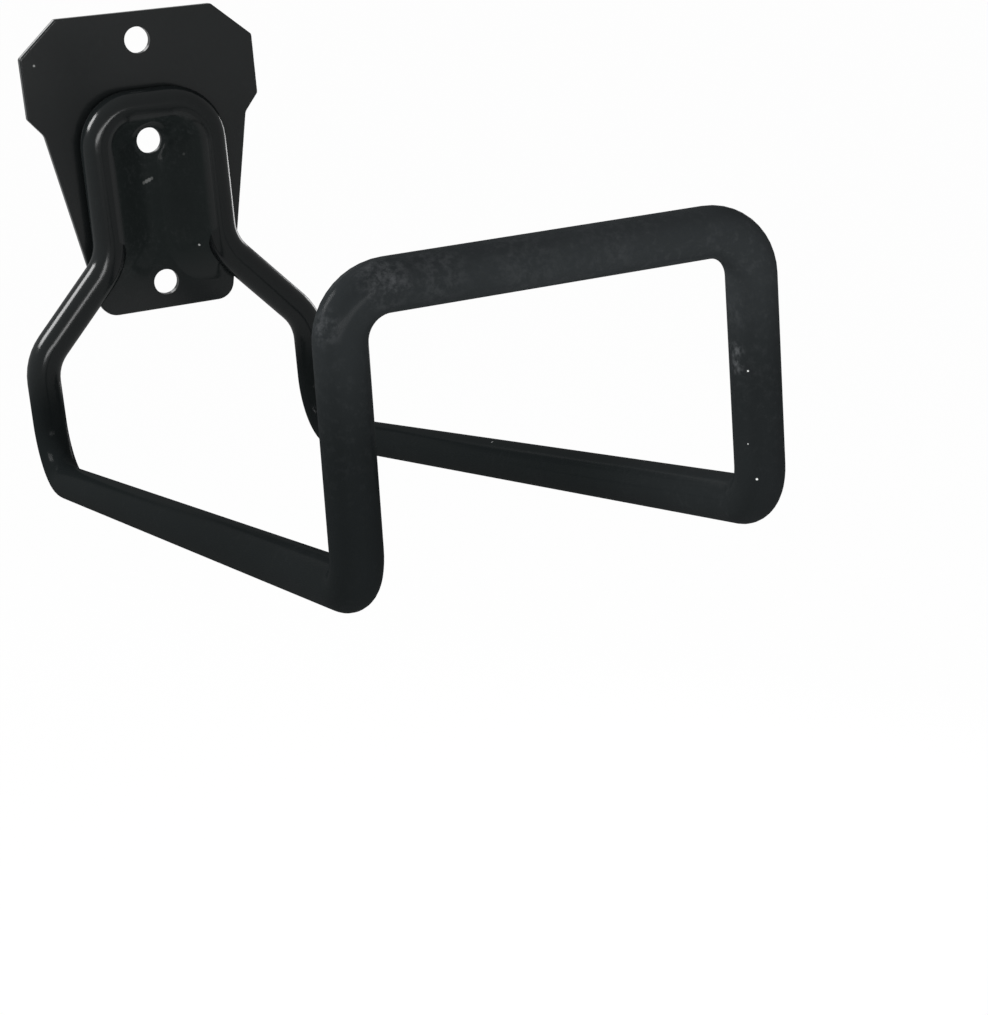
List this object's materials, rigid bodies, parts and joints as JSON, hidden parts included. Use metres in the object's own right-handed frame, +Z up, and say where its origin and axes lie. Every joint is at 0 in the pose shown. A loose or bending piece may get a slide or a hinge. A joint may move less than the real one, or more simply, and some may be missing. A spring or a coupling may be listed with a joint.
{
  "type": "hose hanger",
  "caption": "Wall-mounted hose hanger: a clipped steel back plate with fixing holes carries a bent round rod whose rising arms end in an upright front loop.",
  "frame": {"origin": "on the back face of the plate, at the axis of the middle fixing hole", "axes": "+X to the right seen from the front, +Y into the wall, +Z up; the arms reach out along -Y"},
  "size_m": [0.095, 0.2872, 0.1376],
  "materials": {
    "plate_coat": "black powder coat, semi-gloss",
    "rod_coat": "black powder coat, semi-gloss",
    "weld_coat": "black powder coat over the weld"
  },
  "bodies": {
    "root": {"back_plate": "plate_coat", "rod_frame": "rod_coat", "weld_left": "weld_coat", "weld_right": "weld_coat"}
  },
  "joints": []
}
